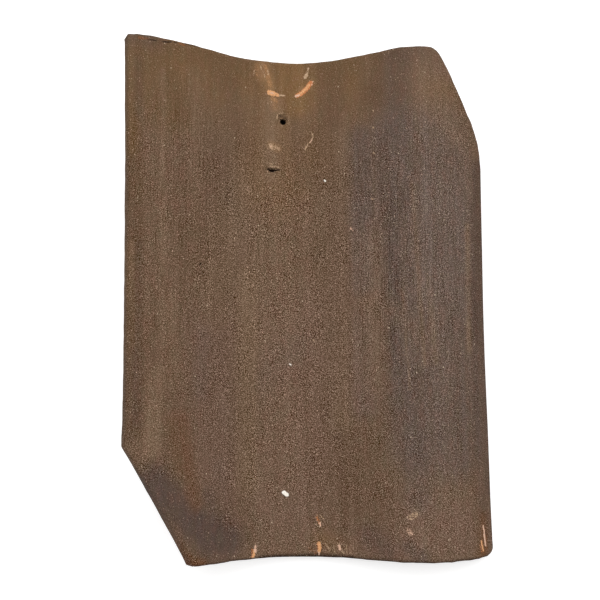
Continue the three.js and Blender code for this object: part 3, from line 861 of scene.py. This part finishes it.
def ramp(value, low, high, to_low=0.0, to_high=1.0, smooth=False):
    """Spreads a value between two others over a new range, and holds it there outside them."""
    node = nodes.new("ShaderNodeMapRange")
    node.interpolation_type = "SMOOTHSTEP" if smooth else "LINEAR"
    links.new(value, node.inputs["Value"])
    node.inputs["From Min"].default_value = low
    node.inputs["From Max"].default_value = high
    node.inputs["To Min"].default_value = to_low
    node.inputs["To Max"].default_value = to_high
    return node.outputs["Result"]


def place_in_grains(grain, shift):
    """The place on the blank, counted in grains of a size across, along and up, and shifted."""
    stretch = nodes.new("ShaderNodeMapping")
    links.new(flat_place, stretch.inputs["Vector"])
    stretch.inputs["Location"].default_value = (shift, shift, shift)
    stretch.inputs["Scale"].default_value = [1 / size for size in grain]
    return stretch.outputs["Vector"]


def clouds(grain, detail=2.0, shift=0.0):
    """Cloudy noise whose lumps have a size across, along and up the blank, in millimetres."""
    node = nodes.new("ShaderNodeTexNoise")
    node.inputs["Scale"].default_value = 1
    node.inputs["Detail"].default_value = detail
    links.new(place_in_grains(grain, shift), node.inputs["Vector"])
    return node.outputs["Fac"]


def grains(spacing, shift=0.0):
    """How far each point is from the nearest of many scattered grains, and a number for each."""
    node = nodes.new("ShaderNodeTexVoronoi")
    node.inputs["Scale"].default_value = 1
    links.new(place_in_grains([spacing] * 3, shift), node.inputs["Vector"])
    split = nodes.new("ShaderNodeSeparateColor")
    links.new(node.outputs["Color"], split.inputs["Color"])
    return node.outputs["Distance"], split.outputs["Red"]


def lay_over(under, colour, share):
    """Lays a colour over another by a share."""
    node = nodes.new("ShaderNodeMix")
    node.data_type = "RGBA"
    links.new(share, node.inputs[0])
    links.new(under, node.inputs[6])
    if isinstance(colour, tuple):
        node.inputs[7].default_value = as_linear(colour)
    else:
        links.new(colour, node.inputs[7])
    return node.outputs[2]


DUST_GREY = 0.055


def brighten(colour, amount):
    """Brightens a colour by a share of itself and a little grey, as dust does, or darkens it."""
    node = nodes.new("ShaderNodeVectorMath")
    node.operation = "MULTIPLY_ADD"
    links.new(colour, node.inputs[0])
    links.new(calculate("ADD", amount, 1.0), node.inputs[1])
    links.new(calculate("MULTIPLY", amount, DUST_GREY), node.inputs[2])
    return node.outputs[0]


flat_place = attribute("flat_place", "Vector")
split_place = nodes.new("ShaderNodeSeparateXYZ")
links.new(flat_place, split_place.inputs[0])

# The body, in patches and lengthwise streaks.
STREAK_CONTRAST = 0.075
FINE_STREAK_CONTRAST = 0.045
patches = clouds((42, 70, 42), 3)
streaks = clouds((5.5, 150, 5.5), 3, shift=7)
fine_streaks = clouds((1.4, 60, 1.4), 2, shift=19)
hue_patches = clouds((15, 28, 15), 3, shift=31)
body = nodes.new("ShaderNodeRGB")
body.outputs[0].default_value = as_linear(BODY)
surface = lay_over(body.outputs[0], DULL_PATCH, ramp(patches, 0.35, 0.65))
surface = lay_over(surface, GREENISH_PATCH, ramp(hue_patches, 0.45, 0.7, 0, 0.4))
surface = lay_over(surface, RUDDY_PATCH, ramp(hue_patches, 0.5, 0.25, 0, 0.3))

# Broad stains, uneven by the patches and the streaks.
uneven_streaks = ramp(streaks, 0.3, 0.7, 0.75, 1.15)
uneven_patches = ramp(hue_patches, 0.3, 0.7, -0.15, 0.15)
unevenness = calculate("ADD", uneven_streaks, uneven_patches)
for kind, colour in BROAD_COLOURS.items():
    share = calculate("MULTIPLY", attribute(kind), unevenness)
    surface = lay_over(surface, colour, ramp(share, 0, 1))
for lines, contrast in ((streaks, STREAK_CONTRAST), (fine_streaks, FINE_STREAK_CONTRAST)):
    surface = brighten(surface, ramp(lines, 0.25, 0.75, -contrast, contrast))

# Small ruddy and greenish mottles: each colour, and the value of the noise where it is fullest.
MOTTLES = (((124, 86, 72), 0.75), ((100, 92, 70), 0.25))
MOTTLE_SHARE = 0.22
mottles = clouds((5, 10, 5), 2, shift=83)
for colour, fullest in MOTTLES:
    share = ramp(mottles, 0.5, fullest, 0, MOTTLE_SHARE)
    surface = lay_over(surface, colour, calculate("MULTIPLY", share, attribute("mottled")))

# Fine combed lines.
COMBING_CONTRAST = 0.22
fine_lines = clouds((0.6, 28, 0.6), 2, shift=61)
combing = ramp(fine_lines, 0.3, 0.7, -COMBING_CONTRAST, COMBING_CONTRAST)
surface = brighten(surface, calculate("MULTIPLY", combing, attribute("combed")))

# The underside and the nib, which saw no weather and hold less sand.
UNDERSIDE_SHARE = 0.75
UNDERSIDE_BARE = 0.6
underside = ramp(split_place.outputs["Z"], 1 - thickness, -thickness)
surface = lay_over(surface, UNDERSIDE, calculate("MULTIPLY", underside, UNDERSIDE_SHARE))

# The scars, each with a ragged edge. A faint one is broken up into specks.
raggedness = clouds((0.9, 1.1, 0.9), 3, shift=23)


def ragged(name):
    """How much of a scar shows, with its edge broken up."""
    edge = calculate("ADD", attribute(name), ramp(raggedness, 0.25, 0.75, -0.5, 0.5))
    return ramp(edge, 0.25, 0.85, smooth=True)


scarred = calculate("MAXIMUM", attribute("wiped"), calculate("MULTIPLY", underside, UNDERSIDE_BARE))
for kind, colour in SCAR_COLOURS.items():
    share = ragged(kind)
    surface = lay_over(surface, colour, share)
    scarred = calculate("MAXIMUM", scarred, share)

# Sand: grains of every tone, thick in some places and thin in others. Few of them are bright.
DUST_SIZE = 0.27
DUST_CONTRAST = 2.05
FEW_BRIGHT = 6
SAND_THIN, SAND_THICK = 0.62, 1.12
SAND_ON_SCARS = 0.22
tone = grains(DUST_SIZE)[1]
thickly = ramp(clouds((9, 18, 9), 3, shift=47), 0.35, 0.65, SAND_THIN, SAND_THICK)
thickly = calculate("MULTIPLY", thickly, ramp(scarred, 0, 1, 1, SAND_ON_SCARS))
glint = calculate("SUBTRACT", calculate("POWER", tone, FEW_BRIGHT), 1 / (FEW_BRIGHT + 1))
dust = calculate("MULTIPLY", glint, calculate("MULTIPLY", thickly, DUST_CONTRAST))
surface = brighten(surface, dust)

# The coarse sand lies one grain deep, so its grains are spread evenly over every face. Their
# pattern leans as it goes down, so that an upright rim cuts across the grains too.
SAND_SPACING = 0.85
SAND_CONTRAST = 1.4
LEAN = 0.8
MEAN_DOME = 0.27
leaning = nodes.new("ShaderNodeCombineXYZ")
for axis in "XY":
    place = calculate("MULTIPLY_ADD", split_place.outputs["Z"], LEAN, split_place.outputs[axis])
    links.new(calculate("DIVIDE", place, SAND_SPACING), leaning.inputs[axis])
coarse = nodes.new("ShaderNodeTexVoronoi")
coarse.voronoi_dimensions = "2D"
coarse.inputs["Scale"].default_value = 1
links.new(leaning.outputs[0], coarse.inputs["Vector"])
dome = ramp(coarse.outputs["Distance"], 0.5, 0)
shine = calculate("MULTIPLY", calculate("SUBTRACT", dome, MEAN_DOME), SAND_CONTRAST)
surface = brighten(surface, calculate("MULTIPLY", shine, thickly))

# Pits where a grain fell out, pale grains, and a few larger flecks.
PITS = {"spacing": 1.5, "bare": 0.92, "radius": 0.5, "shift": 29}
PALE_GRAINS = {"spacing": 1.3, "bare": 0.88, "radius": 0.46, "shift": 11}
FLECKS = {"spacing": 4.5, "bare": 0.5, "radius": 0.52, "shift": 17}
PIT_COLOUR, PIT_SHARE = (52, 38, 30), 0.5
PALE_COLOUR, PALE_SHARE = (196, 172, 150), 0.75
FLECK_COLOUR, FLECK_SHARE = (228, 206, 178), 0.85
SPECK_EDGE = 0.15


def specks(spacing, bare, radius, shift, cover):
    """Scattered specks: the share of places left bare, and the largest radius in millimetres."""
    distance, number = grains(spacing, shift)
    size = ramp(number, bare, 1.0, 0, radius / spacing)
    inside = ramp(calculate("SUBTRACT", size, distance), 0, SPECK_EDGE / spacing)
    return calculate("MULTIPLY", inside, cover)


pit = specks(**PITS, cover=thickly)
surface = lay_over(surface, PIT_COLOUR, calculate("MULTIPLY", pit, PIT_SHARE))
pale = specks(**PALE_GRAINS, cover=thickly)
surface = lay_over(surface, PALE_COLOUR, calculate("MULTIPLY", pale, PALE_SHARE))
fleck = specks(**FLECKS, cover=ramp(thickly, 0, 1, 0.5, 1))
surface = lay_over(surface, FLECK_COLOUR, calculate("MULTIPLY", fleck, FLECK_SHARE))

# Painted shade: near black is laid inside the nail hole, the slit and the dents, so no sand shows
# there.
hollow = calculate("MAXIMUM", attribute("hole_shade"), ragged("pit_shade"))
surface = lay_over(surface, PAINTED_SHADE_BLACK, hollow)
links.new(surface, shader.inputs["Base Color"])

# Matt all over, and rough to the touch.
ROUGH_CLAY, ROUGH_GRAIN = 0.98, 0.84
GRAIN_HEIGHT = 0.08 * MM
CLAY_RELIEF = 0.2  # as a share of a grain's height, like the next
SPECK_RELIEF = 0.5
links.new(ramp(dome, 0, 1, ROUGH_CLAY, ROUGH_GRAIN), shader.inputs["Roughness"])
relief = calculate("MULTIPLY", dome, thickly)
relief = calculate("ADD", relief, calculate("MULTIPLY", raggedness, CLAY_RELIEF))
relief = calculate("ADD", relief, calculate("MULTIPLY", pale, SPECK_RELIEF))
relief = calculate("SUBTRACT", relief, calculate("MULTIPLY", pit, SPECK_RELIEF))
bump = nodes.new("ShaderNodeBump")
bump.inputs["Strength"].default_value = 1
bump.inputs["Distance"].default_value = GRAIN_HEIGHT
links.new(relief, bump.inputs["Height"])
links.new(bump.outputs["Normal"], shader.inputs["Normal"])
tile.data.materials.clear()
tile.data.materials.append(clay)

# ---------------------------------------------------------------------------------------------
# The finished tile, laid down as it rests: at the foot on the bottom of its trough and on the
# roll's edge, at the head on a corner of its nib. The nib's front face is the known mount.
ROLL = math.radians(18.857)
MOUNT_BELOW_TILE = 8 * MM

mount = frame["record"]["mounts"][0]
facing = Vector(mount["axis"])
tile.rotation_mode = "ZYX"
tile.rotation_euler = (math.atan2(-facing.z, -facing.y), ROLL, 0)
nib_front = LENGTH - NIB_TO_HEAD - NIB_LENGTH
mount_unbent = Vector((NIB_RIGHT_OF_TROUGH, nib_front, -THICKNESS - MOUNT_BELOW_TILE))
tile.location = Vector(mount["pos_m"]) - tile.rotation_euler.to_matrix() @ mount_unbent
bpy.ops.object.transform_apply(location=True, rotation=True, scale=False)
tile.rotation_mode = "XYZ"
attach(tile, "root")
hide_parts("roof_tile")

# ---------------------------------------------------------------------------------------------
# The floor: a plain pale board, on which the tile's lowest point stands. The camera sees it as
# white, and it keeps the tile's shadow.
FLOOR_SIZE = 6
FLOOR_COLOUR = (0.8, 0.8, 0.8, 1)
FLOOR_ROUGHNESS = 0.9
FLOOR_GLOW = 0.55

lowest = min(vertex.co.z for vertex in tile.data.vertices)
bpy.ops.object.select_all(action="DESELECT")
bpy.ops.mesh.primitive_plane_add(size=FLOOR_SIZE, location=(0, 0, lowest))
floor = bpy.context.object
floor.name = "floor"
board = bpy.data.materials.new("pale_board")
board.use_nodes = True
board_nodes = board.node_tree.nodes
board_links = board.node_tree.links
board_shader = board_nodes["Principled BSDF"]
board_shader.inputs["Base Color"].default_value = FLOOR_COLOUR
board_shader.inputs["Roughness"].default_value = FLOOR_ROUGHNESS
board_shader.inputs["Emission Color"].default_value = (1, 1, 1, 1)
board_shader.inputs["Specular IOR Level"].default_value = 0
path = board_nodes.new("ShaderNodeLightPath")
seen = path.outputs["Is Camera Ray"]
for ray in ("Is Glossy Ray", "Is Transmission Ray"):
    either = board_nodes.new("ShaderNodeMath")
    either.operation = "MAXIMUM"
    board_links.new(seen, either.inputs[0])
    board_links.new(path.outputs[ray], either.inputs[1])
    seen = either.outputs[0]
glow = board_nodes.new("ShaderNodeMath")
glow.operation = "MULTIPLY"
glow.inputs[1].default_value = FLOOR_GLOW
board_links.new(seen, glow.inputs[0])
board_links.new(glow.outputs[0], board_shader.inputs["Emission Strength"])
floor.data.materials.append(board)

# ---------------------------------------------------------------------------------------------
# The light: a pale room all round and one broad soft lamp overhead, a little towards the head.
# Together they light a level face so that its colour shows as it is.
ROOM_LIGHT = 0.5
LAMP_SIZE = 1.6
LAMP_PLACE = (0.3, 0.7, 1.9)
LAMP_POWER = 28.7

world = bpy.data.worlds.new("room")
bpy.context.scene.world = world
world.use_nodes = True
world_nodes = world.node_tree.nodes
world_links = world.node_tree.links
room = world_nodes["Background"]
room.inputs["Color"].default_value = (1, 1, 1, 1)
path = world_nodes.new("ShaderNodeLightPath")
strength = world_nodes.new("ShaderNodeMapRange")
strength.inputs["To Min"].default_value = ROOM_LIGHT
strength.inputs["To Max"].default_value = 1
world_links.new(path.outputs["Is Camera Ray"], strength.inputs["Value"])
world_links.new(strength.outputs["Result"], room.inputs["Strength"])

bpy.ops.object.light_add(type="AREA", location=LAMP_PLACE)
lamp = bpy.context.object
lamp.data.shape = "SQUARE"
lamp.data.size = LAMP_SIZE
lamp.data.energy = LAMP_POWER
lamp.rotation_euler = (-Vector(LAMP_PLACE)).to_track_quat("-Z", "Y").to_euler()

bpy.context.scene.view_settings.view_transform = "Standard"
